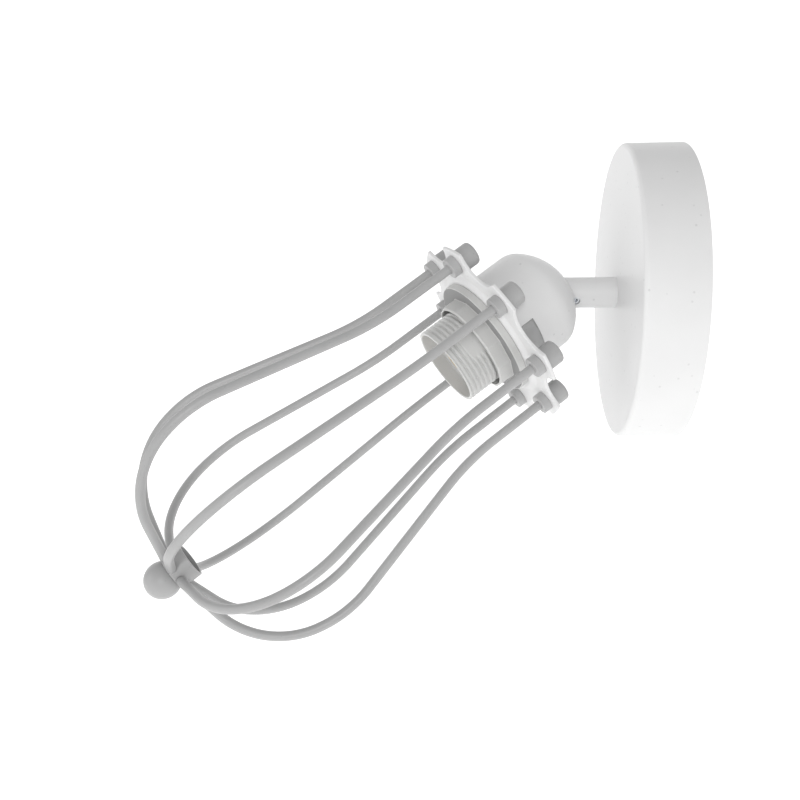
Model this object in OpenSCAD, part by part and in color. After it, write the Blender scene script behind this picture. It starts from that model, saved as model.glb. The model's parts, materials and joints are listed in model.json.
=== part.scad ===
// Cage wall light: a round rose on the wall, a short arm with a tilting and
// swivelling knuckle, a cup over the lampholder and a cage of eight wires.
// Origin: centre of the rose's back, on the wall. The lamp reaches out along -Y, +Z is up.

/* [Pose] */
// Angle of the head below straight out from the wall
tilt = 39; // [0:0.5:50]
// Turn of the head about the arm, from hanging plumb
swivel = 19; // [-150:1:150]
// Turn of the cage on the lampholder
cage_turn = 7; // [0:1:44]

/* [Rose and bracket] */
// Outside diameter of the rose
rose_d = 140; // [110:1:180]
// Depth of the rose, from the wall to its face
rose_depth = 27.5; // [20:0.5:40]
// Sheet thickness of the rose
rose_wall = 1.2; // [0.8:0.1:2]
// Rounding of the rose's front edge
rose_edge_r = 2.2; // [1.5:0.1:5]
// Width of the wall bracket's strap
bracket_w = 24; // [18:1:34]
// Sheet thickness of the wall bracket
bracket_t = 1.5; // [1:0.1:2.5]
// Distance between the two wall screw slots
wall_slot_pitch = 80; // [60:1:90]
// Length of each wall screw slot, end to end
wall_slot_l = 16; // [8:1:18]
// Width of each wall screw slot
wall_slot_w = 4.8; // [4:0.1:6]
// Diameter of the cable hole in the bracket
cable_hole_d = 16; // [10:0.5:20]
// Thread diameter of the two set screws in the rose's side
cover_screw_d = 4; // [3:0.5:5]
// Distance of those set screws from the wall
cover_screw_out = 10; // [7:0.5:13]

/* [Arm and knuckle] */
// Outside diameter of the arm tube
arm_d = 14.9; // [13.5:0.1:15.5]
// Length of the arm tube in front of the rose
arm_l = 26.2; // [20:0.5:30]
// Diameter of the turning stem inside the arm
stem_d = 12; // [11:0.1:12.4]
// Distance of the tilt pin from the wall
pivot_out = 62.2; // [60:0.2:70]
// Thread diameter of the hollow nipples
nipple_d = 10; // [8:0.5:10]
// Thickness of each of the knuckle's two tongues
tongue_t = 5; // [3:0.1:6]
// Outside radius of the tongues' round ends
tongue_r = 6; // [5:0.1:6.5]
// Diameter of the tilt screw
pin_d = 4; // [3:0.5:5]
// Diameter of the arm's set screw
set_screw_d = 4; // [3:0.5:5]

/* [Cup] */
// Outside diameter of the cup
cup_d = 52; // [50:0.5:58]
// Sheet thickness of the cup
cup_wall = 1; // [0.6:0.1:1.5]
// Distance from the tilt pin to the cup's open rim
pivot_to_rim = 31; // [29:0.5:36]
// Distance from the tilt pin to the top of the cup's domed end
pivot_to_pole = 11; // [10.5:0.5:16]
// Radius of the domed end
dome_r = 29.4; // [27:0.2:45]
// Rounding between the cup's side and its dome
cup_corner_r = 10.6; // [6:0.2:12]
// Room round the arm in the cup's slot
slot_room = 0.6; // [0.4:0.1:1]

/* [Lampholder] */
// Outside diameter of the threaded skirt
skirt_d = 39.5; // [38:0.1:41]
// Distance of the lampholder's mouth in front of the cup's rim
mouth_out = 30.4; // [26:0.2:36]
// Inside diameter of the mouth
mouth_d = 36.4; // [34:0.1:37]
// Depth of the mouth down to the screw shell
mouth_depth = 7; // [5:0.5:12]
// Bore of the screw shell
shell_d = 26.6; // [26:0.1:27.2]
// Length of the screw shell
shell_l = 17; // [14:0.5:18]
// Diameter of the lampholder's body inside the cup
holder_d = 44; // [42:0.5:46]
// Diameter of the ring nut's flange
ring_flange_d = 60; // [54:0.5:64]
// Thickness of the ring nut's flange
ring_flange_t = 3.6; // [2:0.1:5]
// Diameter of the ring nut over its flats
ring_body_d = 47; // [44:0.5:50]
// Length of the ring nut in front of its flange
ring_body_l = 7.2; // [5:0.1:10]

/* [Cage] */
// Diameter of the wires
wire_d = 4.5; // [3:0.1:5]
// Radius of the circle of holes that holds the wires
wire_hole_r = 42; // [40:0.5:46]
// Straight length of a wire next to the ring
neck_l = 34.7; // [26:0.1:40]
// Angle of a wire's flare
flare_angle = 14; // [10:0.1:18]
// Bending radius of the flare
flare_r = 128; // [100:1:160]
// Straight length of a wire along the flare
flare_l = 58.8; // [40:0.5:70]
// Bending radius of the crown
crown_r = 57.6; // [50:0.5:70]
// Angle of the wire at the end of the crown, towards the axis
crown_angle = 15; // [12:0.5:32]
// Bending radius of the shoulder
shoulder_r = 43.5; // [18:0.5:48]
// Angle of the wire at the end of the shoulder, towards the axis
shoulder_angle = 78; // [64:0.5:80]
// Sheet thickness of the cage ring
ring_t = 1.6; // [1:0.1:2.5]
// Outside radius of the cage ring's ears
ear_out_r = 49.6; // [48:0.1:54]
// Radius of the bites between the ears
bite_r = 13; // [10:0.5:14]
// Outside diameter of the collar that gathers the wires
collar_d = 17; // [14:0.1:20]
// Length of the collar
collar_l = 10.4; // [6:0.1:12]
// Diameter of the ball at the end
ball_d = 17.2; // [14:0.1:22]
// Diameter of the cap nuts behind the ears
cap_nut_d = 11.4; // [9:0.1:13]
// Length of the cap nuts
cap_nut_l = 8.4; // [8:0.1:14]
// Diameter of the round nuts in front of the ears
front_nut_d = 9.8; // [8:0.1:12]
// Length of the round nuts
front_nut_l = 4.2; // [3:0.1:6]

/* [Hidden] */
$fn = 48;

wire_count = 8;

fit = 0.05;            // running clearance of a shaft in its hole, on the radius
seat = 0.02;           // gap between pieces that are screwed or welded together
tilt_max = 50;         // the head's furthest tilt below straight out
play = 0.3;            // gap between faces that pass each other when the head moves
white = [0.93, 0.93, 0.93];
wire_grey = [0.72, 0.72, 0.72];
cap_grey = [0.75, 0.75, 0.74];
zinc = [0.66, 0.67, 0.69];
brass = [0.78, 0.63, 0.33];
cut = 1;               // how far a cutting shape stands past a face

// ---- frames of reference -------------------------------------------------

// From the wall: local z points out of the wall, local y stays up.
module from_wall() {
    rotate([90, 0, 0]) children();
}

// On the turning stem: origin on the tilt pin, z along the arm, x along the pin.
module on_stem() {
    from_wall() translate([0, 0, pivot_out]) rotate([0, 0, swivel]) children();
}

// On the head: origin at the middle of the cup's rim, z towards the ball.
module on_head() {
    on_stem() rotate([tilt, 0, 0]) translate([0, 0, pivot_to_rim]) children();
}

// A round bar or hole from z = low to z = high.
module bar(d, low, high, sides = 96) {
    translate([0, 0, low]) cylinder(d = d, h = high - low, $fn = sides);
}

// A hexagon nut of the given size across its flats, from z = low to z = high.
module hex(flats, low, high) {
    translate([0, 0, low]) cylinder(d = flats / cos(30), h = high - low, $fn = 6);
}

// A round pipe from z = low to z = high.
module pipe(outside, inside, low, high) {
    difference() {
        bar(outside, low, high);
        bar(inside, low - cut, high + cut);
    }
}

slot_depth = 1.2;      // screwdriver slot in a screw's head

// A slotted screw that points down from its head, which stands on z = under.
module slotted_screw(d, tip, under, head_d, head_l, slot_w) {
    difference() {
        union() {
            bar(d, tip, under + head_l / 2);
            bar(head_d, under, under + head_l);
        }
        translate([-head_d, -slot_w / 2, under + head_l - slot_depth])
            cube([2 * head_d, slot_w, slot_depth + cut]);
    }
}

// ---- rose ----------------------------------------------------------------

rose_r = rose_d / 2;

// Half outline of a pan of radius r and depth h, with its front corner rounded.
module pan_outline(r, h, edge) {
    square([r - edge, h]);
    square([r, h - edge]);
    translate([r - edge, h - edge]) intersection() {
        circle(r = edge, $fn = 48);
        square(edge);
    }
}

module rose_cover() {
    color(white) from_wall() difference() {
        rotate_extrude($fn = 160) pan_outline(rose_r, rose_depth, rose_edge_r);
        translate([0, 0, -cut]) rotate_extrude($fn = 160)
            pan_outline(rose_r - rose_wall, rose_depth - rose_wall + cut, rose_edge_r - rose_wall);
        bar(nipple_d + 2 * fit, rose_depth - rose_wall - cut, rose_depth + cut);
        for (side = [-1, 1])
            translate([0, 0, cover_screw_out]) rotate([-90 * side, 0, 0])
                bar(cover_screw_d + 2 * fit, rose_r - rose_wall - cut, rose_r + cut);
    }
}

tab_gap = 0.6;                                   // between the bracket's tabs and the rose
// Outer face of a bracket tab: its corners stand clear of the rose's side.
tab_face = sqrt(pow(rose_r - rose_wall - tab_gap, 2) - pow(bracket_w / 2, 2));
tab_h = cover_screw_out + 5;                     // height of a bracket tab above the wall
slot_edge = 7;                                   // metal beyond the end of a wall screw slot

module wall_slot(x) {
    translate([x, 0, -cut]) linear_extrude(bracket_t + 2 * cut) {
        square([wall_slot_l - wall_slot_w, wall_slot_w], center = true);
        for (end = [-1, 1])
            translate([end * (wall_slot_l - wall_slot_w) / 2, 0]) circle(d = wall_slot_w);
    }
}

// Upright strap with a cross arm for the wall screws; its ends turn forward for the set screws.
module wall_bracket() {
    cross_l = wall_slot_pitch + wall_slot_l + 2 * slot_edge;
    color(zinc) from_wall() difference() {
        union() {
            translate([-bracket_w / 2, -tab_face, 0]) cube([bracket_w, 2 * tab_face, bracket_t]);
            translate([-cross_l / 2, -bracket_w / 2, 0]) cube([cross_l, bracket_w, bracket_t]);
            for (side = [-1, 1])
                translate([-bracket_w / 2, side * (tab_face - bracket_t / 2) - bracket_t / 2, 0])
                    cube([bracket_w, bracket_t, tab_h]);
        }
        for (side = [-1, 1]) {
            wall_slot(side * wall_slot_pitch / 2);
            translate([0, 0, cover_screw_out]) rotate([-90 * side, 0, 0])
                bar(cover_screw_d, tab_face - bracket_t - cut, tab_face + cut);
        }
        bar(cable_hole_d, -cut, bracket_t + cut);
        translate([0, earth_y, 0]) bar(earth_d, -cut, bracket_t + cut);
        for (side = [-1, 1])
            translate([side * block_screw_x, block_y, 0]) bar(block_screw_d, -cut, bracket_t + cut);
    }
}

screw_recess = 0.4;                              // set screws stand this far below the surface
cover_screw_tip = tab_face - bracket_t - 2;      // it comes through its tab by 2 mm

// Two headless screws, flush with the rose, threaded in the bracket's tabs.
module cover_screws() {
    color(zinc) from_wall() for (side = [-1, 1])
        translate([0, 0, cover_screw_out]) rotate([-90 * side, 0, 0]) difference() {
            bar(cover_screw_d - seat, cover_screw_tip, rose_r - screw_recess);
            hex(cover_screw_d / 2, rose_r - screw_recess - cover_screw_d / 2, rose_r);
        }
}

earth_y = 34;                                    // earth screw, above the middle
earth_d = 4;
earth_head_d = 7.5;
earth_head_l = 2.6;
earth_washer_d = 9;                              // its head is made with a washer
earth_washer_t = 1;

module earth_screw() {
    color(brass) from_wall() translate([0, earth_y, bracket_t]) union() {
        bar(earth_washer_d, seat, earth_washer_t);
        slotted_screw(earth_d - seat, 0.2 - bracket_t, earth_washer_t, earth_head_d, earth_head_l, 1);
    }
}

block_y = -38;                                   // terminal block, below the middle
block_w = 28;
block_depth = 15;
block_h = 12;
block_base = 3;                                  // thickness of the floor that joins its two ways
block_screw_x = 0;
block_screw_d = 3.2;
block_head_d = 6;
block_head_l = 2.4;
pole_x = 8.5;                                    // the block's two ways, either side of its screw
pole_w = 8.4;
way_d = 4.2;                                     // hole for a wire, and its height above the floor
way_out = 6.5;
clamp_d = 3;
clamp_y = 3;                                     // clamping screws, above and below the middle
clamp_recess = 1.5;

module terminal_block() {
    color([0.95, 0.95, 0.9]) from_wall() translate([0, block_y, bracket_t + seat]) difference() {
        union() {
            translate([-block_w / 2, -block_h / 2, 0]) cube([block_w, block_h, block_base]);
            for (side = [-1, 1])
                translate([side * pole_x - pole_w / 2, -block_h / 2, 0])
                    cube([pole_w, block_h, block_depth]);
        }
        bar(block_screw_d + 2 * fit, -cut, block_base + cut);
        for (side = [-1, 1]) translate([side * pole_x, 0, 0]) {
            translate([0, 0, way_out]) rotate([90, 0, 0]) bar(way_d, -block_h, block_h);
            for (end = [-1, 1]) translate([0, end * clamp_y, 0])
                bar(clamp_d + 2 * fit, way_out, block_depth + cut);
        }
    }
}

// Four clamping screws of the block, and the screw that holds it on the bracket.
module terminal_screws() {
    color(brass) from_wall() translate([0, block_y, bracket_t + seat]) {
        for (side = [-1, 1], end = [-1, 1]) translate([side * pole_x, end * clamp_y, 0]) difference() {
            bar(clamp_d, way_out + 1, block_depth - clamp_recess);
            translate([-clamp_d, -0.3, block_depth - clamp_recess - 1]) cube([2 * clamp_d, 0.6, 1 + cut]);
        }
        slotted_screw(
            block_screw_d - seat, 0.4 - bracket_t, block_base + seat, block_head_d, block_head_l, 0.8
        );
    }
}

// ---- arm -----------------------------------------------------------------

arm_end = rose_depth + arm_l;
arm_floor = 6;                                   // solid base of the arm that the nipple screws into
set_screw_back = 6.4;                            // the arm's set screw, behind the arm's end
set_screw_out = arm_end - set_screw_back;
groove_w = set_screw_d + 1;                      // groove in the stem for the set screw's tip
groove_depth = 1.2;
set_screw_side = -41;                            // the set screw points down and to the side
cable_d = 6.4;                                   // way for the wires
arm_washer_d = 20;
arm_washer_t = 1.2;
locknut_flats = 14;
locknut_t = 3;
nipple_tail = 3.6;                               // the arm's nipple stands out of its locknut

module arm_tube() {
    color(white) from_wall() difference() {
        bar(arm_d, rose_depth, arm_end);
        bar(nipple_d, rose_depth - cut, rose_depth + arm_floor + cut);
        bar(stem_d + 2 * fit, rose_depth + arm_floor, arm_end + cut);
        translate([0, 0, set_screw_out]) rotate([0, 90, set_screw_side]) bar(set_screw_d + 0.3, 0, arm_d);
    }
}

washer_back = rose_depth - rose_wall - arm_washer_t;
nut_back = washer_back - seat - locknut_t;

module arm_nipple() {
    color(brass) from_wall()
        pipe(nipple_d - seat, cable_d, nut_back - nipple_tail, rose_depth + arm_floor - seat);
}

module arm_washer() {
    color(zinc) from_wall()
        pipe(arm_washer_d, nipple_d + 2 * fit, washer_back, rose_depth - rose_wall - seat);
}

module arm_locknut() {
    color(brass) from_wall() difference() {
        hex(locknut_flats, nut_back, washer_back - seat);
        bar(nipple_d, nut_back - cut, washer_back + cut);
    }
}

module arm_set_screw() {
    tip = stem_d / 2 - groove_depth + play;
    end = arm_d / 2 - 2 * screw_recess;
    color(zinc) from_wall() translate([0, 0, set_screw_out]) rotate([0, 90, set_screw_side]) difference() {
        bar(set_screw_d, tip, end);
        hex(set_screw_d / 2, end - 1.4, arm_d);
    }
}

// ---- knuckle -------------------------------------------------------------

washer_t = 0.8;                                  // friction washer between the two tongues
tongue_in = washer_t / 2 + seat;                 // inner face of a tongue
neck_gap = tongue_r + 0.6;                       // from the pin to the shoulders beside a tongue
knuckle_base = 14;                               // diameter of the knuckle's round base

// Tongue on the +x side, its round end on the pin, its root at z = -reach.
module tongue(reach, width) {
    difference() {
        translate([tongue_in, 0, 0]) {
            rotate([0, 90, 0]) cylinder(r = tongue_r, h = tongue_t, $fn = 96);
            translate([0, -width / 2, -reach]) cube([tongue_t, width, reach]);
        }
        rotate([0, 90, 0]) bar(pin_d + 2 * fit, -cut, tongue_in + tongue_t + cut);
    }
}

module knuckle_stem() {
    low = rose_depth + arm_floor + 1 - pivot_out;
    groove = set_screw_out - pivot_out;
    color(zinc) on_stem() union() {
        difference() {
            bar(stem_d, low, -neck_gap);
            bar(cable_d, low - cut, 0);
            translate([0, 0, groove - groove_w / 2]) pipe(stem_d + 2, stem_d - 2 * groove_depth, 0, groove_w);
        }
        intersection() {
            tongue(neck_gap + 2, 2 * tongue_r);
            union() {
                bar(stem_d, -neck_gap - 2, -tongue_r / 2);
                cube([4 * tongue_r, 4 * tongue_r, 2 * neck_gap], center = true);
            }
        }
    }
}

base_back = neck_gap - pivot_to_rim;             // shoulder of the head's half of the knuckle
base_floor = base_back + 1.5;                    // back end of the tapped hole in the knuckle's base
base_front = base_back + 5.4;

// The head's half of the knuckle: a tongue on a round base that the holder's nipple screws into.
module knuckle_cap() {
    color(zinc) on_head() union() {
        difference() {
            bar(knuckle_base, base_back, base_front);
            bar(nipple_d, base_floor, base_front + cut);
            translate([tongue_in / 2, 0, 0]) bar(cable_d, base_back - cut, base_front);
        }
        translate([0, 0, -pivot_to_rim]) rotate([0, 180, 0]) tongue(neck_gap, 2 * tongue_r);
    }
}

pin_head_in = tongue_in + tongue_t + fit;        // under the tilt screw's head and its nut
pin_head_d = 7.4;
pin_head_l = 2.6;
pin_nut_flats = 7;
pin_nut_l = 3.4;
pin_end = 1.1;                                   // the tilt screw stands out of its nut
washer_d = 10.4;

// Along the tilt pin, on the head's side of the knuckle.
module on_pin() {
    on_head() translate([0, 0, -pivot_to_rim]) rotate([0, 90, 0]) children();
}

module pivot_screw() {
    color(zinc) on_pin()
        slotted_screw(pin_d, -pin_head_in - pin_nut_l - pin_end, pin_head_in, pin_head_d, pin_head_l, 1);
}

module pivot_washer() {
    color(zinc) on_pin() pipe(washer_d, pin_d + 2 * fit, -washer_t / 2, washer_t / 2);
}

module pivot_nut() {
    color(zinc) on_pin() difference() {
        hex(pin_nut_flats, -pin_head_in - pin_nut_l, -pin_head_in);
        bar(pin_d + seat, -pin_head_in - pin_nut_l - cut, 0);
    }
}

// ---- cup -----------------------------------------------------------------

cup_r = cup_d / 2;
cup_pole = -pivot_to_rim - pivot_to_pole;        // outermost point of the dome

// Solid of the cup's outer form, shrunk all over by inset: a cylinder, a dome and the corner
// arc that touches both.
module cup_form(inset) {
    r = cup_r - inset;
    corner = cup_corner_r - inset;
    dome_centre = cup_pole + dome_r;
    corner_x = cup_r - cup_corner_r;
    corner_z = dome_centre - sqrt(pow(dome_r - cup_corner_r, 2) - pow(corner_x, 2));
    touch = (dome_r - inset) / (dome_r - cup_corner_r);
    rotate_extrude($fn = 128) {
        translate([0, corner_z]) square([r, -corner_z + (inset > 0 ? cut : 0)]);
        intersection() {
            translate([corner_x, corner_z]) circle(r = corner, $fn = 96);
            translate([corner_x * 0.9, corner_z - corner]) square([corner * 2, corner]);
        }
        intersection() {
            translate([0, dome_centre]) circle(r = dome_r - inset, $fn = 192);
            polygon([
                [0, corner_z], [corner_x, corner_z],
                [corner_x * touch, dome_centre + (corner_z - dome_centre) * touch],
                [corner_x * touch, cup_pole - cut], [0, cup_pole - cut]
            ]);
        }
    }
}

// All that the arm passes through, seen from the head, as the head tilts from 0 to tilt_max.
module arm_sweep() {
    slot_w = arm_d + 2 * slot_room;
    reach = cup_r + pivot_to_pole;
    translate([0, 0, -pivot_to_rim]) {
        for (angle = [0, tilt_max]) rotate([-angle, 0, 0]) bar(slot_w, -reach, -neck_gap);
        rotate([0, 90, 180]) rotate_extrude(angle = tilt_max, $fn = 96)
            translate([neck_gap, -slot_w / 2]) square([reach - neck_gap, slot_w]);
    }
}

module head_cup() {
    color(white) on_head() difference() {
        cup_form(0);
        cup_form(cup_wall);
        arm_sweep();
    }
}

strap_w = 14;
strap_t = 1.5;
strap_tab_l = 9;
strap_back = base_front + seat;

// Strap across the inside of the cup, welded to it by its two turned ends.
module cup_strap() {
    inner = cup_r - cup_wall - seat;
    color(zinc) on_head() difference() {
        intersection() {
            translate([0, 0, strap_back]) difference() {
                bar(2 * inner, 0, strap_tab_l);
                bar(2 * (inner - strap_t), strap_t, strap_tab_l + cut);
            }
            translate([-cup_r, -strap_w / 2, strap_back - cut]) cube([cup_d, strap_w, strap_tab_l + 2 * cut]);
        }
        bar(nipple_d + 2 * fit, strap_back - cut, strap_back + strap_t + cut);
    }
}

// ---- lampholder ----------------------------------------------------------

cap_back = strap_back + strap_t + seat;          // back face of the lampholder's cap
cap_l = 8;
boss_wall = 4;
cap_boss_d = nipple_d + 2 * boss_wall;           // boss round the nipple
cap_floor = 4;                                   // length of thread in the boss
cap_back_d = 30;                                 // small end of the cap's cone
cap_d = holder_d - 3;
cap_rim_l = 2;
cap_wall = 3;
cap_front = cap_back + cap_l;                    // where the cap meets the body
shell_front = mouth_out - mouth_depth;
shell_back = shell_front - shell_l;
shell_wall = 0.5;
contact_room = 4.6;                              // from the block's face to the screw shell
block_front = shell_back - contact_room;
block_l = 6;
block_back = block_front - block_l;
block_d = shell_d + 2 * shell_wall + 2.8;
block_ledge = 2;                                 // ledge in the body that the block stands on
holder_wall = 4;                                 // wall and floor of the body behind the block
holder_floor = 1.5;
strip_front = shell_back + 3;                    // end of the strip that touches the shell
strip_t = 0.6;
strip_w = 6;

module holder_nipple() {
    color(brass) on_head()
        pipe(nipple_d - seat, cable_d, base_floor + seat, cap_back + cap_floor + 1);
}

// Back of the lampholder: a cone with a tapped boss, open to the front.
module lampholder_cap() {
    cone_back = cap_back + cap_rim_l;
    color(white) on_head() difference() {
        union() {
            bar(cap_boss_d, cap_back, cap_back + cap_floor);
            translate([0, 0, cone_back])
                cylinder(d1 = cap_back_d, d2 = cap_d, h = cap_front - cap_rim_l - cone_back, $fn = 96);
            bar(cap_d, cap_front - cap_rim_l, cap_front);
        }
        translate([0, 0, cap_back + cap_floor]) cylinder(
            d1 = cap_back_d - 2 * cap_wall, d2 = cap_d - 2 * cap_wall, h = cap_l - cap_floor + seat, $fn = 96
        );
        bar(nipple_d, cap_back - cut, cap_back + cap_floor + cut);
    }
}

// Half-threaded shell of the lampholder: its wide body in the cup, its skirt through the cage
// ring. A shallow groove in front of the ring nut lets the thread run out.
module lampholder_body() {
    shoulder = ring_back - seat;
    color(white) on_head() difference() {
        union() {
            bar(holder_d, cap_front + seat, shoulder);
            bar(skirt_d, shoulder - 1, mouth_out);
        }
        bar(mouth_d, shell_front, mouth_out + cut);
        bar(shell_d + 2 * shell_wall + 2 * seat, strip_front, shell_front + cut);
        bar(block_d, block_back - seat, strip_front + play);
        bar(block_d - 2 * block_ledge, cap_front, block_front);
        bar(holder_d - 2 * holder_wall, cap_front - cut, block_back - holder_floor);
        translate([0, 0, nut_front + relief_gap])
            pipe(skirt_d + 2, skirt_d - 2 * relief_depth, 0, relief_w);
    }
}

contact_screw_d = 3;
contact_screw_in = 6.2;                          // from the block's edge to a contact screw
contact_screw_x = block_d / 2 - contact_screw_in;
contact_head_d = 5.6;
contact_head_l = 2.6;

module contact_block() {
    color([0.93, 0.92, 0.88]) on_head() difference() {
        bar(block_d - 2 * seat, block_back, block_front - seat);
        for (side = [-1, 1]) translate([side * contact_screw_x, 0, 0])
            bar(contact_screw_d + 2 * fit, block_back - cut, block_front + cut);
    }
}

module contact_screws() {
    color(brass) on_head() for (side = [-1, 1]) translate([side * contact_screw_x, 0, 0]) {
        bar(contact_screw_d, block_back - contact_head_l / 2, block_front - 2);
        bar(contact_head_d, block_back - contact_head_l, block_back - seat);
    }
}

module screw_shell() {
    color(brass) on_head() pipe(shell_d + 2 * shell_wall, shell_d, shell_back, shell_front);
}

spring_r = 11.4;                                 // bending radius of the spring strip
spring_rise = 3.4;                               // how high it arches over the block

// Strip that springs up under the lamp's tip.
module centre_contact() {
    sunk = spring_r - spring_rise;               // depth of the arc's centre below the block's face
    reach = sqrt(pow(spring_r, 2) - pow(sunk, 2));
    color(brass) on_head() translate([0, 0, block_front])
        rotate([90, 0, 0]) linear_extrude(strip_w, center = true) union() {
            translate([-reach - 1.9, 0]) square([2.6, strip_t]);
            intersection() {
                translate([0, -sunk]) difference() {
                    circle(r = spring_r, $fn = 96);
                    circle(r = spring_r - strip_t, $fn = 96);
                }
                translate([-reach - cut, 0]) square([2 * reach + cut - 0.5, spring_r]);
            }
        }
}

// Strip on the block that stands up against the outside of the screw shell.
module side_contact() {
    inner = shell_d / 2 + shell_wall + seat;
    foot_l = 4;
    color(brass) on_head() translate([-strip_w / 2, inner, block_front]) union() {
        translate([0, -foot_l, 0]) cube([strip_w, foot_l + strip_t, strip_t]);
        cube([strip_w, strip_t, strip_front - block_front]);
    }
}

// ---- ring nut and cage ring ------------------------------------------------

ring_back = 1.2;                                 // back of the ears, in front of the cup's rim
ring_front = ring_back + ring_t;
hub_rise = 1.5;                                  // how far the hub is pressed forward
hub_r = ring_flange_d / 2 + 1.2;
hub_slope_r = hub_r + 3;
hub_front = ring_front + hub_rise;
thread_gap = 0.25;
flange_front = hub_front + ring_flange_t;
nut_front = flange_front + ring_body_l;
nut_chamfer = 0.6;                               // on the front edge of the ring nut's flats
nut_wall = 1.8;                                  // wall round its counterbore, at the corners
nut_thread_l = ring_flange_t + 1;                // threaded length behind the counterbore
relief_gap = 0.1;                                // thread run-out, in front of the ring nut
relief_w = 1;
relief_depth = 0.5;
ear_tip_w = 15;                                  // width of an ear at its tip

// Ring nut: a flange against the cage ring and a twelve-sided body with an open counterbore.
module shade_ring() {
    body_l = ring_body_l + cut;
    tip_d = ring_body_d - 2 * nut_chamfer;
    color(white) on_head() difference() {
        union() {
            bar(ring_flange_d, hub_front + seat, flange_front, 128);
            translate([0, 0, flange_front - cut]) intersection() {
                cylinder(d = ring_body_d, h = body_l, $fn = 12);
                cylinder(d1 = tip_d + 2 * body_l, d2 = tip_d, h = body_l, $fn = 12);
            }
        }
        bar(skirt_d + 2 * thread_gap, hub_front - cut, nut_front + cut);
        bar(ring_body_d - 2 * nut_wall, hub_front + nut_thread_l, nut_front + cut);
    }
}

module ear_layout() {
    for (k = [0 : wire_count - 1]) rotate([0, 0, -cage_turn - k * 360 / wire_count]) children();
}

// Pressed ring: a flat star of ears with round bites between them, and a hub pressed forward.
module cage_ring() {
    half_bite = 180 / wire_count - asin(ear_tip_w / 2 / ear_out_r);
    bite_centre = ear_out_r * cos(half_bite) + sqrt(pow(bite_r, 2) - pow(ear_out_r * sin(half_bite), 2));
    hole_r = skirt_d / 2 + thread_gap;
    lap = 0.4;                                   // the hub's section reaches into the flat star
    color(white) on_head() difference() {
        union() {
            difference() {
                bar(2 * ear_out_r, ring_back, ring_front, 160);
                bar(2 * hub_slope_r - 1, ring_back - cut, ring_front + cut);
            }
            rotate_extrude($fn = 128) polygon([
                [hole_r, hub_front - ring_t], [hub_r, hub_front - ring_t],
                [hub_slope_r, ring_back], [hub_slope_r + lap, ring_back],
                [hub_slope_r + lap, ring_front], [hub_slope_r, ring_front],
                [hub_r, hub_front], [hole_r, hub_front]
            ]);
        }
        ear_layout() {
            translate([0, wire_hole_r, 0]) bar(wire_d + play, ring_back - cut, ring_front + cut);
            rotate([0, 0, 180 / wire_count]) translate([0, bite_centre, 0])
                bar(2 * bite_r, ring_back - cut, ring_front + cut);
        }
    }
}

// ---- nuts on the ears ------------------------------------------------------

module front_nuts() {
    color(wire_grey) on_head() ear_layout() translate([0, wire_hole_r, ring_front + seat]) difference() {
        bar(front_nut_d, 0, front_nut_l, 48);
        bar(wire_d + seat, -cut, front_nut_l + cut);
    }
}

thread_l = 6;                                    // wire behind the ears, inside the cap nut
cap_chamfer = 1.6;

module cap_nuts() {
    color(cap_grey) on_head() ear_layout() translate([0, wire_hole_r, ring_back - seat]) difference() {
        rotate_extrude($fn = 64) polygon([
            [0, 0], [cap_nut_d / 2, 0], [cap_nut_d / 2, cap_chamfer - cap_nut_l],
            [cap_nut_d / 2 - cap_chamfer, -cap_nut_l], [0, -cap_nut_l]
        ]);
        bar(wire_d + seat, -thread_l - 0.5, cut);
    }
}

// ---- cage wires --------------------------------------------------------------

wire_start = ring_back - thread_l;
wire_sides = 12;
collar_r = collar_d / 2;

// A station on a wire's centre line is [distance from the axis, height, heading], where the
// heading is the angle away from the axis.
function straight(from, l) = [from[0] + l * sin(from[2]), from[1] + l * cos(from[2]), from[2]];

// Stations along an arc of radius r that turns from the last station's heading to a new one.
function bend(from, r, heading, steps) = [
    for (i = [1 : steps])
        let (h = from[2] + (heading - from[2]) * i / steps, way = sign(heading - from[2]))
        [from[0] + way * r * (cos(from[2]) - cos(h)), from[1] + way * r * (sin(h) - sin(from[2])), h]
];

function last(list) = list[len(list) - 1];

neck_end = [wire_hole_r, neck_l, 0];
flare = bend(neck_end, flare_r, flare_angle, 4);
flare_end = straight(last(flare), flare_l);
crown = bend(flare_end, crown_r, -crown_angle, 10);
shoulder = bend(last(crown), shoulder_r, -shoulder_angle, 9);
foot_end = straight(last(shoulder), (last(shoulder)[0] - collar_r - seat) / sin(shoulder_angle));
wire_path = concat([[wire_hole_r, wire_start, 0], neck_end], flare, [flare_end], crown, shoulder, [foot_end]);

// Ring of points round a station; the last ring is mitred flat against the collar.
function ring_points(s, mitred) = [
    for (j = [0 : wire_sides - 1])
        let (a = 360 * j / wire_sides, x = wire_d / 2 * cos(a), v = wire_d / 2 * sin(a))
        mitred ? [x, s[0], s[1] - v / sin(s[2])]
               : [x, s[0] + v * cos(s[2]), s[1] - v * sin(s[2])]
];

// One wire: a round bar swept along its stations, from the cap nut to the collar.
module wire(k) {
    rings = len(wire_path);
    points = [for (i = [0 : rings - 1]) each ring_points(wire_path[i], i == rings - 1)];
    sides = [
        for (i = [0 : rings - 2], j = [0 : wire_sides - 1])
            let (next = (j + 1) % wire_sides, low = i * wire_sides, high = low + wire_sides)
            [low + j, low + next, high + next, high + j]
    ];
    ends = [
        [for (j = [wire_sides - 1 : -1 : 0]) j],
        [for (j = [0 : wire_sides - 1]) (rings - 1) * wire_sides + j]
    ];
    color(wire_grey) on_head() rotate([0, 0, -cage_turn - (k - 1) * 360 / wire_count])
        polyhedron(points, concat(sides, ends));
}

// ---- collar and ball -------------------------------------------------------------

collar_front = foot_end[1] + wire_d / 2;
collar_wall = 1.2;
collar_floor = 1.5;
stud_d = 5;                                      // threaded stud of the ball, through the collar
stud_l = 5;

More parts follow.
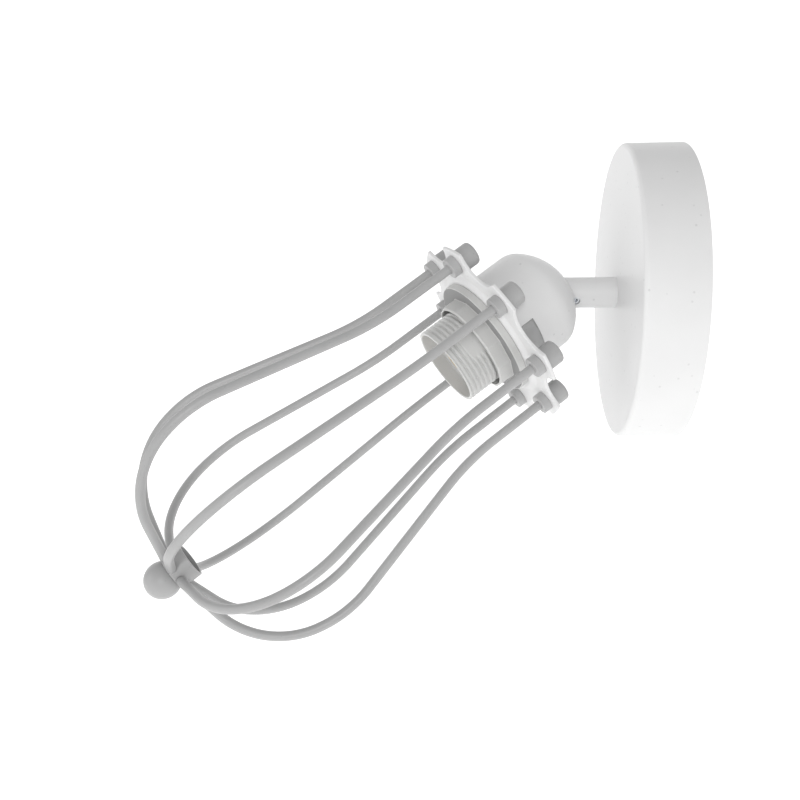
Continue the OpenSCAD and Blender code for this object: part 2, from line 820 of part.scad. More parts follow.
// Short cup that gathers the wires, open towards the lamp.
module cage_collar() {
    color(wire_grey) on_head() difference() {
        bar(collar_d, collar_front - collar_l, collar_front);
        bar(collar_d - 2 * collar_wall, collar_front - collar_l - cut, collar_front - collar_floor);
        bar(stud_d + seat, collar_front - collar_floor - cut, collar_front + cut);
    }
}

ball_seat_r = 7.1;                               // the ball is turned flat where it meets the collar
ball_centre = collar_front + seat + sqrt(pow(ball_d / 2, 2) - pow(ball_seat_r, 2));

module ball_finial() {
    color(wire_grey) on_head() union() {
        difference() {
            translate([0, 0, ball_centre]) sphere(d = ball_d, $fn = 96);
            bar(ball_d, ball_centre - ball_d, collar_front + seat);
        }
        bar(stud_d - seat, collar_front - stud_l, ball_centre);
    }
}

rose_cover();
wall_bracket();
cover_screws();
earth_screw();
terminal_block();
terminal_screws();
arm_tube();
arm_nipple();
arm_washer();
arm_locknut();
arm_set_screw();
knuckle_stem();
knuckle_cap();
pivot_screw();
pivot_washer();
pivot_nut();
head_cup();
cup_strap();
holder_nipple();
lampholder_cap();
lampholder_body();
contact_block();
screw_shell();
centre_contact();
side_contact();
contact_screws();
shade_ring();
cage_ring();
front_nuts();
cap_nuts();
cage_collar();
ball_finial();
wire(1);  // wire_1
wire(2);  // wire_2
wire(3);  // wire_3
wire(4);  // wire_4
wire(5);  // wire_5
wire(6);  // wire_6
wire(7);  // wire_7
wire(8);  // wire_8
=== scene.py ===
import json
import math

import bmesh
import bpy
import numpy as np
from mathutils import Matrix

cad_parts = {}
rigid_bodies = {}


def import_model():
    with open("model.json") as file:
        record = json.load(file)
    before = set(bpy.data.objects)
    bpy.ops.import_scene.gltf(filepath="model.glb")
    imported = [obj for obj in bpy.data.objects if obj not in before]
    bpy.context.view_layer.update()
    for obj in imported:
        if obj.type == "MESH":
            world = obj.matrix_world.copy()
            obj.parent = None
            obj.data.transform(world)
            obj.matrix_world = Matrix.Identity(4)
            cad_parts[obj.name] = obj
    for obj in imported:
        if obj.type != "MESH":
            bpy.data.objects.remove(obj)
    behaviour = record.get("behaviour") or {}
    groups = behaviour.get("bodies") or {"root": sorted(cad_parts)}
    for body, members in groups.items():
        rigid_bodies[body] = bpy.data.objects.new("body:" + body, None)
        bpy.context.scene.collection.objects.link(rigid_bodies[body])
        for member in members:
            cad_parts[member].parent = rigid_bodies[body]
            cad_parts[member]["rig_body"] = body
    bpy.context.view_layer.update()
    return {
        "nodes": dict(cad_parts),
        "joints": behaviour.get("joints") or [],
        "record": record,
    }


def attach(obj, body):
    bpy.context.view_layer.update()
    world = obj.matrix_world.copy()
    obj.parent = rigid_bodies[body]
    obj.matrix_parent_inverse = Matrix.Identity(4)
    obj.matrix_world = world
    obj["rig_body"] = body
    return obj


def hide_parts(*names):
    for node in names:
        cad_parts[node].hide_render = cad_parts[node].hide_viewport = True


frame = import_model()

nodes = frame["nodes"]


# ---- Studio ----------------------------------------------------------------------
# The photograph is a cut-out on white, taken close by and level with the cage. A pale
# floor runs back into a curved wall, and two soft lights stand by the camera and before
# the rose.

view = bpy.data.cameras.new("camera")
view.sensor_width = 36
view.lens = 40.46
camera = bpy.data.objects.new("camera", view)
camera.location = (0.4441, -0.1031, -0.0525)
camera.rotation_euler = (math.radians(90), 0, math.radians(93.8))
bpy.context.scene.collection.objects.link(camera)
bpy.context.scene.camera = camera
bpy.context.scene.view_settings.view_transform = "Standard"


def surface(name, points, closed_u=False, closed_v=False, uv=None):
    """Mesh object over a grid of points, shape (rows, columns, 3) or (copies, rows, columns, 3),
    in metres. Each cell of the grid is one face, a closed direction joins its last row or column
    to its first, and rows that shrink to a point are merged."""
    points = points.reshape(-1, *points.shape[-3:])
    copies, rows, columns = points.shape[:3]
    i = np.arange(rows if closed_v else rows - 1)[:, None]
    j = np.arange(columns if closed_u else columns - 1)[None, :]
    up, right = (i + 1) % rows, (j + 1) % columns
    cell = np.stack([i * columns + j, i * columns + right, up * columns + right, up * columns + j], -1)
    faces = np.arange(copies)[:, None, None] * rows * columns + cell.reshape(1, -1, 4)
    mesh = bpy.data.meshes.new(name)
    mesh.from_pydata(points.reshape(-1, 3).tolist(), [], faces.reshape(-1, 4).tolist())
    if uv is not None:
        across = np.stack([j + 0 * i, j + 1 + 0 * i, j + 1 + 0 * i, j + 0 * i], -1) * uv[0]
        along = np.stack([i + 0 * j, i + 0 * j, i + 1 + 0 * j, i + 1 + 0 * j], -1) * uv[1]
        layer = mesh.uv_layers.new(name="along")
        corners = np.stack([across, along], -1).astype(np.float32).reshape(1, -1)
        layer.data.foreach_set("uv", np.repeat(corners, copies, 0).ravel())
    welded = bmesh.new()
    welded.from_mesh(mesh)
    bmesh.ops.remove_doubles(welded, verts=welded.verts, dist=1e-7)
    welded.to_mesh(mesh)
    welded.free()
    mesh.shade_smooth()
    piece = bpy.data.objects.new(name, mesh)
    bpy.context.scene.collection.objects.link(piece)
    return piece


floor_z = -0.62
turn = np.radians(np.linspace(0, 90, 13))
cove = np.concatenate([
    [[3.0, floor_z]],
    np.stack([-1.6 - 0.8 * np.sin(turn), floor_z + 0.8 - 0.8 * np.cos(turn)], -1),
    [[-2.4, 3.0]],
])
width = np.linspace(-4, 4, 9)
backdrop = surface("backdrop", np.stack([
    np.repeat(cove[:, :1], 9, 1), np.repeat(width[None, :], len(cove), 0), np.repeat(cove[:, 1:], 9, 1)
], -1))
paper = bpy.data.materials.new("white paper")
paper.use_nodes = True
sheet = paper.node_tree.nodes["Principled BSDF"]
sheet.inputs["Base Color"].default_value = (0.9, 0.9, 0.9, 1)
sheet.inputs["Roughness"].default_value = 0.9
sheet.inputs["Emission Color"].default_value = (1, 1, 1, 1)
sheet.inputs["Emission Strength"].default_value = 0.52
backdrop.data.materials.append(paper)

world = bpy.data.worlds.new("studio")
world.use_nodes = True
world.node_tree.nodes["Background"].inputs["Color"].default_value = (1, 1, 1, 1)
world.node_tree.nodes["Background"].inputs["Strength"].default_value = 0.57
bpy.context.scene.world = world


def soft_light(name, place, aim, size, watts):
    """Square area light of that size at place, turned so that it shines towards aim."""
    lamp = bpy.data.lights.new(name, "AREA")
    lamp.size = size
    lamp.energy = watts
    light = bpy.data.objects.new(name, lamp)
    offset = np.subtract(aim, place)
    light.location = place
    light.rotation_euler = (
        math.atan2(np.hypot(offset[0], offset[1]), -offset[2]), 0, math.atan2(-offset[0], offset[1])
    )
    bpy.context.scene.collection.objects.link(light)


soft_light("light by the camera", (1.2, -0.12, 0.02), (0, -0.1, -0.03), 0.2, 2.2)
soft_light("light before the rose", (0.4, -1.3, 0.1), (0, 0, 0), 0.8, 2)


# ---- Rose ------------------------------------------------------------------------
# A pan pressed from steel sheet and powder-coated white. Two set screws hold it on the
# bracket, and the arm's nipple passes through its face.

def tree_of(material):
    """(nodes, link function, Principled node, Object coordinate socket) of a new material."""
    material.use_nodes = True
    tree = material.node_tree
    place = tree.nodes.new("ShaderNodeTexCoord")
    return tree.nodes, tree.links.new, tree.nodes["Principled BSDF"], place.outputs["Object"]


def skin_group():
    """Group that makes a coated or cast surface uneven. Cloud is soft mottling and Speck is
    rare small dots, both from 0 to 1; Normal carries a fine grain of the given size."""
    group = bpy.data.node_groups.new("skin", "ShaderNodeTree")
    for name, kind in (("Vector", "NodeSocketVector"), ("Cloud size", "NodeSocketFloat"),
                       ("Grain size", "NodeSocketFloat"), ("Grain depth", "NodeSocketFloat")):
        group.interface.new_socket(name, in_out="INPUT", socket_type=kind)
    for name, kind in (("Cloud", "NodeSocketFloat"), ("Speck", "NodeSocketFloat"),
                       ("Normal", "NodeSocketVector")):
        group.interface.new_socket(name, in_out="OUTPUT", socket_type=kind)
    new, link = group.nodes.new, group.links.new
    given, result = new("NodeGroupInput"), new("NodeGroupOutput")
    cloud, grain, speck = new("ShaderNodeTexNoise"), new("ShaderNodeTexNoise"), new("ShaderNodeTexVoronoi")
    for texture, size in ((cloud, "Cloud size"), (grain, "Grain size"), (speck, "Grain size")):
        scale = new("ShaderNodeMath")
        scale.operation = "DIVIDE"
        scale.inputs[0].default_value = 0.2 if texture is speck else 1
        link(given.outputs[size], scale.inputs[1])
        link(scale.outputs[0], texture.inputs["Scale"])
        link(given.outputs["Vector"], texture.inputs["Vector"])
    cloud.inputs["Detail"].default_value = 4
    grain.inputs["Detail"].default_value = 2
    near = new("ShaderNodeMapRange")
    near.inputs["From Min"].default_value = 0.12
    near.inputs["From Max"].default_value = 0.05
    link(speck.outputs["Distance"], near.inputs["Value"])
    bump = new("ShaderNodeBump")
    bump.inputs["Distance"].default_value = 0.0001
    link(given.outputs["Grain depth"], bump.inputs["Strength"])
    link(grain.outputs["Fac"], bump.inputs["Height"])
    link(cloud.outputs["Fac"], result.inputs["Cloud"])
    link(near.outputs["Result"], result.inputs["Speck"])
    link(bump.outputs["Normal"], result.inputs["Normal"])
    return group


skin = skin_group()


def finish(name, light, dark, rough, cloud=0.03, grain=0.0006, depth=0.2, metal=0.0, coat=0.0):
    """Coated, cast or plated material. The colour runs from dark to light over the cloud, with a
    darker speck here and there, and the roughness over the pair rough; the grain is a bump."""
    material = bpy.data.materials.new(name)
    new, link, shader, place = tree_of(material)
    uneven = new.new("ShaderNodeGroup")
    uneven.node_tree = skin
    uneven.inputs["Cloud size"].default_value = cloud
    uneven.inputs["Grain size"].default_value = grain
    uneven.inputs["Grain depth"].default_value = depth
    link(place, uneven.inputs["Vector"])
    ramp = new.new("ShaderNodeValToRGB")
    ramp.color_ramp.elements[0].position = 0.35
    ramp.color_ramp.elements[1].position = 0.65
    ramp.color_ramp.elements[0].color = (*dark, 1)
    ramp.color_ramp.elements[1].color = (*light, 1)
    link(uneven.outputs["Cloud"], ramp.inputs["Fac"])
    dotted = new.new("ShaderNodeMix")
    dotted.data_type = "RGBA"
    dotted.inputs["B"].default_value = (*np.multiply(dark, 0.86), 1)
    link(uneven.outputs["Speck"], dotted.inputs["Factor"])
    link(ramp.outputs["Color"], dotted.inputs["A"])
    link(dotted.outputs["Result"], shader.inputs["Base Color"])
    gloss = new.new("ShaderNodeMapRange")
    gloss.inputs["From Min"].default_value = 0.35
    gloss.inputs["From Max"].default_value = 0.65
    gloss.inputs["To Min"].default_value = rough[0]
    gloss.inputs["To Max"].default_value = rough[1]
    link(uneven.outputs["Cloud"], gloss.inputs["Value"])
    link(gloss.outputs["Result"], shader.inputs["Roughness"])
    link(uneven.outputs["Normal"], shader.inputs["Normal"])
    shader.inputs["Metallic"].default_value = metal
    shader.inputs["Coat Weight"].default_value = coat
    return material


def dress(piece, material, slot, *replaced):
    """Gives a piece its material, and lets it stand for CAD nodes on their body; slot is not used."""
    piece.data.materials.clear()
    piece.data.materials.append(material)
    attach(piece, nodes[replaced[0]]["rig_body"] if replaced else "head")
    if replaced:
        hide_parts(*replaced)


def smoothed(name, node, edge):
    """Copy of a CAD node with its triangles merged and its curved walls shaded smooth. A bevel
    edge metres wide rounds the corners that are sharper than 35 degrees."""
    piece = bpy.data.objects.new(name, nodes[node].data.copy())
    bpy.context.scene.collection.objects.link(piece)
    shape = bmesh.new()
    shape.from_mesh(piece.data)
    bmesh.ops.remove_doubles(shape, verts=shape.verts, dist=1e-6)
    bmesh.ops.dissolve_limit(shape, angle_limit=math.radians(0.4), verts=shape.verts, edges=shape.edges)
    shape.to_mesh(piece.data)
    shape.free()
    piece.data.shade_smooth()
    bevel = piece.modifiers.new("rounded corners", "BEVEL")
    bevel.width = edge
    bevel.segments = 2
    bevel.limit_method = "ANGLE"
    bevel.angle_limit = math.radians(35)
    bevel.use_clamp_overlap = True
    piece.modifiers.new("even shading", "WEIGHTED_NORMAL")
    return piece


white_powder = finish("white powder coat", (0.80, 0.80, 0.80), (0.78, 0.78, 0.78), (0.36, 0.42), grain=0.0012)
dress(smoothed("rose_pan", "rose_cover", 0.0003), white_powder, "white_paint", "rose_cover")


# ---- Bracket and its screws --------------------------------------------------------
# A cross of zinc-plated strap on the wall. Its turned ends are tapped for the two set
# screws, and it carries the earth screw and the terminal block.

zinc_plate = finish(
    "zinc plate", (0.62, 0.64, 0.66), (0.50, 0.52, 0.55), (0.28, 0.42), cloud=0.012, metal=1.0
)
brass = finish("brass", (0.66, 0.50, 0.24), (0.56, 0.41, 0.18), (0.25, 0.4), cloud=0.01, metal=1.0)
dress(smoothed("bracket_strap", "wall_bracket", 0.0002), zinc_plate, "zinc_steel", "wall_bracket")
dress(smoothed("rose_screws", "cover_screws", 0.0002), zinc_plate, "zinc_steel", "cover_screws")
dress(smoothed("earth_screw_turned", "earth_screw", 0.0002), brass, "brass", "earth_screw")


# ---- Terminal block ------------------------------------------------------------------
# Two ways for the supply wires in white polyamide, screwed to the bracket's lower arm.

polyamide = finish("polyamide", (0.78, 0.77, 0.72), (0.72, 0.71, 0.66), (0.45, 0.55), cloud=0.02)
block = smoothed("terminal_block_moulded", "terminal_block", 0.0004)
dress(block, polyamide, "white_plastic", "terminal_block")
dress(smoothed("terminal_screws_turned", "terminal_screws", 0.0001), brass, "brass", "terminal_screws")


# ---- Arm -----------------------------------------------------------------------------
# A turned steel tube, powder-coated with the rose, held by a hollow brass nipple with a
# washer and a locknut. A set screw in its side runs in the stem's groove.

dress(smoothed("arm_turned", "arm_tube", 0.0003), white_powder, "white_paint", "arm_tube")
dress(smoothed("nipple_turned", "arm_nipple", 0.0003), brass, "brass", "arm_nipple")
dress(smoothed("locknut_turned", "arm_locknut", 0.0003), brass, "brass", "arm_locknut")
dress(smoothed("washer_stamped", "arm_washer", 0.0002), zinc_plate, "zinc_steel", "arm_washer")
dress(smoothed("arm_screw", "arm_set_screw", 0.0001), zinc_plate, "zinc_steel", "arm_set_screw")


# ---- Knuckle --------------------------------------------------------------------------
# Two turned zinc-plated halves on a screw with a friction washer and a nut: the stem
# turns in the arm and the cap tilts with the head.

dress(smoothed("stem_turned", "knuckle_stem", 0.0003), zinc_plate, "zinc_steel", "knuckle_stem")
dress(smoothed("knuckle_turned", "knuckle_cap", 0.0003), zinc_plate, "zinc_steel", "knuckle_cap")
dress(smoothed("tilt_screw", "pivot_screw", 0.0002), zinc_plate, "zinc_steel", "pivot_screw")
dress(smoothed("tilt_washer", "pivot_washer", 0.0001), zinc_plate, "zinc_steel", "pivot_washer")
dress(smoothed("tilt_nut", "pivot_nut", 0.0003), zinc_plate, "zinc_steel", "pivot_nut")


# ---- Cup -------------------------------------------------------------------------------
# A deep-drawn steel cup, powder-coated white, with a slot that lets the head tilt. A strap
# welded across it holds it to the knuckle. A plain silver-grey film is stuck on its side.

dress(smoothed("cup_drawn", "head_cup", 0.0003), white_powder, "white_paint", "head_cup")
dress(smoothed("strap_bent", "cup_strap", 0.0002), zinc_plate, "zinc_steel", "cup_strap")

thread_mount = next(m for m in frame["record"]["mounts"] if m["name"] == "skirt_thread")
head_z = np.array(thread_mount["axis"]) / np.linalg.norm(thread_mount["axis"])
head_x = np.array(next(j for j in frame["joints"] if j["name"] == "head_tilt")["axis"])
head_x -= head_z * (head_x @ head_z)
head_x /= np.linalg.norm(head_x)
head_y = np.cross(head_z, head_x)
rim_to_thread = 0.0233
rim_centre = np.array(thread_mount["pos_m"]) - rim_to_thread * head_z


def on_head(points):
    """Points in mm on the head's own axes (x along the tilt pin, z from the middle of the cup's
    rim towards the ball), moved to their place in the frame in metres."""
    x, y, z = np.moveaxis(points, -1, 0)[..., None] / 1000
    return rim_centre + x * head_x + y * head_y + z * head_z


cup_r = 26
film_gap = 0.02
film_angle = np.radians(np.linspace(-31.3, -97, 40))[None, :]
film_place = np.linspace(-10.4, -0.9, 9)[:, None]
film = surface("blank_film", on_head(np.stack([
    (cup_r + film_gap) * np.cos(film_angle) + 0 * film_place,
    (cup_r + film_gap) * np.sin(film_angle) + 0 * film_place,
    film_place + 0 * film_angle,
], -1)[:, ::-1]))
thick = film.modifiers.new("thickness", "SOLIDIFY")
thick.thickness = 0.00008
thick.offset = 1
grey_film = finish(
    "silver-grey film", (0.43, 0.43, 0.43), (0.40, 0.40, 0.40), (0.35, 0.45), cloud=0.008, metal=0.4
)
dress(film, grey_film, "grey_paint")


# ---- Lampholder --------------------------------------------------------------------------
# White thermoplastic cap and body, with a white ceramic block, a brass screw shell and
# brass contacts inside. The body's skirt has a moulded thread with a smooth field on one
# side; the screw shell is rolled to the lamp's own thread.

def eased(corners, closed=True, steps=5):
    """Outline through (r, z, ease) corners with each corner p rounded: it leaves the two sides
    at ease from p and follows (1-s)^2 a + 2 s (1-s) p + s^2 b between those points a and b."""
    corners = np.array(corners, float)
    p, ease = corners[:, :2], corners[:, 2:]
    before, after = np.roll(p, 1, 0) - p, np.roll(p, -1, 0) - p
    before_l = np.linalg.norm(before, axis=1, keepdims=True)
    after_l = np.linalg.norm(after, axis=1, keepdims=True)
    a = (p + before / before_l * np.minimum(ease, 0.45 * before_l))[:, None]
    b = (p + after / after_l * np.minimum(ease, 0.45 * after_l))[:, None]
    s = np.linspace(0, 1, steps)[None, :, None]
    curve = (1 - s) ** 2 * a + 2 * s * (1 - s) * p[:, None] + s ** 2 * b
    if closed:
        return curve.reshape(-1, 2)
    return np.concatenate([p[:1], curve[1:-1].reshape(-1, 2), p[-1:]])


def turned(outline, angles, grow=0):
    """Surface of revolution about the head's axis in mm: (r + grow) cos a, (r + grow) sin a, z
    over the outline's (r, z) rows and the angles a, with grow given per row and angle."""
    r = outline[:, :1] + grow + 0 * angles
    return np.stack([r * np.cos(angles), r * np.sin(angles), outline[:, 1:] + 0 * angles], -1)


def even(piece):
    """Weights a piece's normals by face size, so that flat walls stay flat beside their edges."""
    piece.modifiers.new("even shading", "WEIGHTED_NORMAL")
    return piece


around = np.radians(np.arange(0, 360, 2.0))[None, :]
skirt_r = 19.75
mouth_z, mouth_r = 30.4, 18.2
shell_way_z, shell_way_r = 23.4, 13.84
block_way_z, block_way_r = 9.7, 15.2
back_z, flange_z, holder_r = -9.44, 1.18, 22
thread_pitch = 2.5
thread_depth = 0.85
thread_z = np.arange(1.8, mouth_z - 0.5, 0.2)
body_front = eased([
    (skirt_r, mouth_z, 0.35), (mouth_r, mouth_z, 0.35), (mouth_r, shell_way_z, 0.3),
    (shell_way_r, shell_way_z, 0.2), (shell_way_r, block_way_z, 0.1), (block_way_r, block_way_z, 0.1),
    (block_way_r, -4.22, 0.2), (13.2, -4.22, 0.2), (13.2, -5.7, 0.2), (18, -5.7, 0.4), (18, back_z, 0.2),
    (holder_r, back_z, 0.4), (holder_r, flange_z, 0.4), (skirt_r, flange_z, 0.2)
])
body_outline = np.concatenate([np.stack([0 * thread_z + skirt_r, thread_z], -1), body_front])
phase = (body_outline[:, 1:] / thread_pitch - around / (2 * np.pi)) % 1
flank = np.clip((np.abs(phase - 0.5) * 2 - 0.42) / 0.34, 0, 1)
groove = flank ** 2 * (3 - 2 * flank)
from_field = (np.degrees(around + np.radians(8) + np.pi) % 360 - 180) / 25
along_field = (body_outline[:, 1:] - 17.2) / 5.6
smooth_field = np.clip(1.7 - from_field ** 4 - along_field ** 4, 0, 1)
threaded = (np.arange(len(body_outline)) < len(thread_z))[:, None]
thread_starts = np.clip((body_outline[:, 1:] - 1.8) / 1.5, 0, 1)
thread_stops = np.clip((mouth_z - 0.6 - body_outline[:, 1:]) / 0.8, 0, 1)
cut_in = -thread_depth * groove * (1 - smooth_field) * thread_starts * thread_stops * threaded
plastic = finish("white thermoplastic", (0.62, 0.62, 0.61), (0.58, 0.58, 0.57), (0.32, 0.42), grain=0.0004)
holder = even(surface("lampholder_moulded", on_head(turned(body_outline, around, cut_in)), True, True))
dress(holder, plastic, "white_plastic", "lampholder_body")
dress(smoothed("lampholder_back", "lampholder_cap", 0.0004), plastic, "white_plastic", "lampholder_cap")

ceramic = finish("white ceramic", (0.80, 0.79, 0.75), (0.74, 0.73, 0.69), (0.2, 0.35), cloud=0.01, coat=0.3)
dress(smoothed("block_fired", "contact_block", 0.0004), ceramic, "white_ceramic", "contact_block")

roll_pitch = 3.6
roll_z = np.linspace(6.5, 23.3, 100)
roll = 0.2 + 0.2 * np.cos(2 * np.pi * (roll_z[:, None] / roll_pitch - around / (2 * np.pi)))
shell_inside = turned(np.stack([0 * roll_z + 13.05, roll_z], -1), around, roll)
shell_outside = turned(np.stack([0 * roll_z + 13.38, roll_z], -1), around, roll)
shell_wall = np.concatenate([shell_outside, shell_inside[::-1]])
shell = surface("screw_shell_rolled", on_head(shell_wall), True, True)
dress(shell, brass, "brass", "screw_shell")
dress(smoothed("holder_nipple_turned", "holder_nipple", 0.0003), brass, "brass", "holder_nipple")
dress(smoothed("centre_spring", "centre_contact", 0.0001), brass, "brass", "centre_contact")
dress(smoothed("side_spring", "side_contact", 0.0001), brass, "brass", "side_contact")
dress(smoothed("contact_screws_turned", "contact_screws", 0.0002), brass, "brass", "contact_screws")


# ---- Ring nut ------------------------------------------------------------------------------
# A moulded ring that clamps the cage against the lampholder: a flat flange, a body with
# twelve flats, and a counterbore round the thread. The flange's front face is painted darker: painted shade
# on the same plastic.

nut_back, flange_front, nut_front = 4.32, 7.9, 15.1
flats = 12
flange_r, corner_r, recess_r, thread_r = 30, 23.5, 21.7, 20
chamfer = 0.6
nut_steps = 5
nut_outline = eased([
    (flange_r, nut_back, 0.4), (flange_r, flange_front, 0.45), (corner_r, flange_front, 0.3),
    (corner_r, nut_front - chamfer, 0.25), (corner_r - chamfer, nut_front, 0.25),
    (recess_r, nut_front, 0.2), (recess_r, flange_front + 1, 0.3), (thread_r, flange_front + 1, 0.2),
    (thread_r, nut_back, 0.3)
], steps=nut_steps)
on_flats = np.repeat([0, 0, 1, 1, 1, 0, 0, 0, 0], nut_steps)[:, None]
from_corner = np.array([-15, -8, -3, -1.1, -0.4, 0.4, 1.1, 3, 8])
flat_angles = np.radians((np.arange(flats)[:, None] * 360 / flats + from_corner).reshape(1, -1))
from_middle = np.pi / flats - np.abs((flat_angles + np.pi / flats) % (2 * np.pi / flats) - np.pi / flats)
sink = nut_outline[:, :1] * (math.cos(math.pi / flats) / np.cos(from_middle) - 1) * on_flats
ring_nut = even(surface("ring_nut", on_head(turned(nut_outline, flat_angles, sink)), True, True))
dress(ring_nut, plastic, "white_plastic", "shade_ring")
# A darker copy of the white plastic: painted shade for the flange's front face.
painted_shade_plastic = finish(
    "thermoplastic with painted shade", (0.29, 0.29, 0.29), (0.26, 0.26, 0.26), (0.5, 0.6), grain=0.0004
)
ring_nut.data.materials.append(painted_shade_plastic)
# Only the flange's front face takes the darker copy, as painted shade.
face_row = 2 * nut_steps - 1
row_of_face = np.arange(len(ring_nut.data.polygons)) // flat_angles.size
ring_nut.data.polygons.foreach_set("material_index", (row_of_face == face_row).astype(np.int32))


# ---- Cage ring -------------------------------------------------------------------------------
# Steel sheet stamped to a star of eight ears with round bites between them. Its hub is
# pressed forward, and it is powder-coated white.

wires = 8
cage_turn = 7
ear_r = 49.6
ear_tip = 15
bite_r = 13
hub_r, slope_r = 31.2, 34.2
ring_back, ring_front = 1.2, 2.8
hub_back, hub_front = 2.7, 4.3
half_bite = math.pi / wires - math.asin(ear_tip / 2 / ear_r)
bite_middle = ear_r * math.cos(half_bite) + math.sqrt(bite_r ** 2 - (ear_r * math.sin(half_bite)) ** 2)
star_angles = np.radians(np.arange(0, 360, 0.5))[None, :]
first_ear = math.radians(90 - cage_turn)
off_bite = (star_angles - first_ear) % (2 * np.pi / wires) - np.pi / wires
inside_bite = np.clip(bite_r ** 2 - (bite_middle * np.sin(off_bite)) ** 2, 0, None)
star_r = np.where(np.abs(off_bite) < half_bite, bite_middle * np.cos(off_bite) - np.sqrt(inside_bite), ear_r)
star_outline = eased([
    (thread_r, hub_back, 0.2), (hub_r, hub_back, 0.8), (slope_r, ring_back, 0.8), (ear_r, ring_back, 0.4),
    (ear_r, ring_front, 0.4), (slope_r, ring_front, 0.8), (hub_r, hub_front, 0.8), (thread_r, hub_front, 0.3)
])
near_edge = star_outline[:, :1] > 40
bitten = (star_r - ear_r) * near_edge
star = even(surface("cage_star", on_head(turned(star_outline, star_angles, bitten)), True, True))
dress(star, white_powder, "white_paint", "cage_ring")


# ---- Nuts on the ears --------------------------------------------------------------------------
# Each wire is held by a round nut in front of its ear and a cap nut behind it, turned from
# steel and coated white with the wires. Their mid grey is painted shade on that white coat.

# Mid grey for the wires, nuts, collar and ball: painted shade standing for their white coat.
painted_shade_grey = finish(
    "white coat painted grey for shade", (0.44, 0.44, 0.44), (0.41, 0.41, 0.41), (0.30, 0.38), cloud=0.02, grain=0.0005
)
wire_r = 2.25
wire_circle = 42
nut_bore_r = wire_r + 0.01
nut_angles = np.radians(np.arange(0, 360, 5.0))[None, :]
ear_angle = first_ear - np.arange(wires) * 2 * np.pi / wires
ear_place = wire_circle * np.stack([np.cos(ear_angle), np.sin(ear_angle), 0 * ear_angle], -1)[:, None, None]


def on_ears(name, outline, closed_v):
    """A turned piece repeated on the eight ears, each about its own wire."""
    return even(surface(name, on_head(turned(outline, nut_angles) + ear_place), True, closed_v))


nut_r, nut_l, front_z = 4.9, 4.2, 2.82
front_nuts = on_ears("round_nuts", eased([
    (nut_r, front_z, 0.35), (nut_r, front_z + nut_l, 0.5), (nut_bore_r, front_z + nut_l, 0.15),
    (nut_bore_r, front_z, 0.15)
]), True)
dress(front_nuts, painted_shade_grey, "grey_paint", "front_nuts")
cap_r, cap_l, cap_bore_l, cap_z = 5.7, 8.4, 6.5, 1.18
cap_nuts = on_ears("cap_nuts_turned", eased([
    (0, cap_z - cap_l, 0), (cap_r, cap_z - cap_l, 1.7), (cap_r, cap_z, 0.3), (nut_bore_r, cap_z, 0.2),
    (nut_bore_r, cap_z - cap_bore_l, 0.2), (0, cap_z - cap_bore_l, 0)
], closed=False), False)
dress(cap_nuts, painted_shade_grey, "grey_paint", "cap_nuts")


# ---- Wires -------------------------------------------------------------------------------------
# Eight steel rods bent to one shape: straight through the ring, flared out, round the
# crown and in to the collar, where each is cut to fit and welded.

def wire_line(step=0.6):
    """Centre line of a wire as (distance from the axis, height, heading) rows. The heading runs
    straight from bend to bend along the rod, and r and z are the sums of its sine and cosine."""
    bends = np.radians([0, 0, 14, 14, -15, -78, -78])
    start = -4.8
    radii = [128, 57.6, 43.5]
    turns = np.abs(np.diff(bends))[[1, 3, 4]]
    lengths = [34.7 - start, radii[0] * turns[0], 58.8, radii[1] * turns[1], radii[2] * turns[2], 30]
    stations = np.cumsum([0] + lengths)
    s = np.arange(0, stations[-1], step)
    heading = np.interp(s, stations, bends)
    middle = (heading[1:] + heading[:-1]) / 2
    r = wire_circle + step * np.concatenate([[0], np.cumsum(np.sin(middle))])
    z = start + step * np.concatenate([[0], np.cumsum(np.cos(middle))])
    return np.stack([r, z, heading], -1)


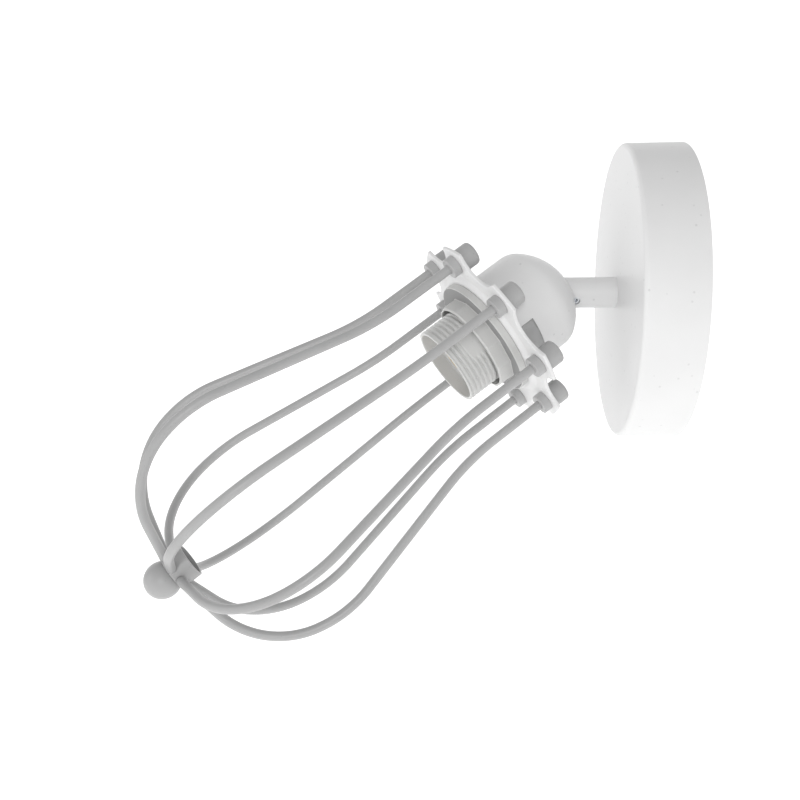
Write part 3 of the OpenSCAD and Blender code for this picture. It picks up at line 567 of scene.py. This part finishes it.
collar_r = 8.5
rod_r = wire_r - 0.08
line = wire_line()
line = line[line[:, 0] > collar_r - 0.3]
foot = line[-1]
rod_angles = np.radians(np.arange(0, 360, 15.0))[None, :]
rod = np.stack([
    rod_r * np.cos(rod_angles) + 0 * line[:, :1],
    line[:, :1] + rod_r * np.sin(rod_angles) * np.cos(line[:, 2:]),
    line[:, 1:2] - rod_r * np.sin(rod_angles) * np.sin(line[:, 2:]),
], -1)
rod_start = rod[:1].mean(1, keepdims=True) + 0 * rod[:1]
rod_end = rod[-1:].mean(1, keepdims=True) + 0 * rod[-1:]
rod = np.concatenate([rod_start, rod, rod_end])
for k, angle in enumerate(ear_angle - math.pi / 2, 1):
    spun = np.stack([
        rod[..., 0] * math.cos(angle) - rod[..., 1] * math.sin(angle),
        rod[..., 0] * math.sin(angle) + rod[..., 1] * math.cos(angle), rod[..., 2]
    ], -1)
    wire = even(surface(f"cage_wire_{k}", on_head(spun), True, uv=(1 / 24, 0.05)))
    # The wires take the mid grey of painted shade.
    dress(wire, painted_shade_grey, "grey_paint", f"wire_{k}")


# ---- Collar and ball ------------------------------------------------------------------------------
# A short turned cup that the wires are welded to, open towards the lamp, and a ball
# screwed to its end with a stud.

collar_front = foot[1] + wire_r
collar_l, collar_wall, collar_floor = 10.4, 1.2, 1.5
collar = even(surface("collar_turned", on_head(turned(eased([
    (collar_r, collar_front - collar_l, 0.3), (collar_r, collar_front, 0.7), (2.52, collar_front, 0.2),
    (2.52, collar_front - collar_floor, 0.2), (collar_r - collar_wall, collar_front - collar_floor, 0.4),
    (collar_r - collar_wall, collar_front - collar_l, 0.3)
]), nut_angles)), True, True))
# The collar and ball take the mid grey of painted shade.
dress(collar, painted_shade_grey, "grey_paint", "cage_collar")

ball_r = 8.59
seat_r, seat_z, stud_r = 7.1, collar_front + 0.02, 2.49
ball_z = seat_z + math.sqrt(ball_r ** 2 - seat_r ** 2)
seat_angle = math.pi - math.asin(seat_r / ball_r)
arc = np.linspace(seat_angle, 0, 48)
stud = [(0, collar_front - 5), (stud_r, collar_front - 5), (stud_r, seat_z)]
ball_outline = np.concatenate([stud, np.stack([ball_r * np.sin(arc), ball_z + ball_r * np.cos(arc)], -1)])
ball = surface("ball_turned", on_head(turned(ball_outline, nut_angles)), True)
dress(even(ball), painted_shade_grey, "grey_paint", "ball_finial")
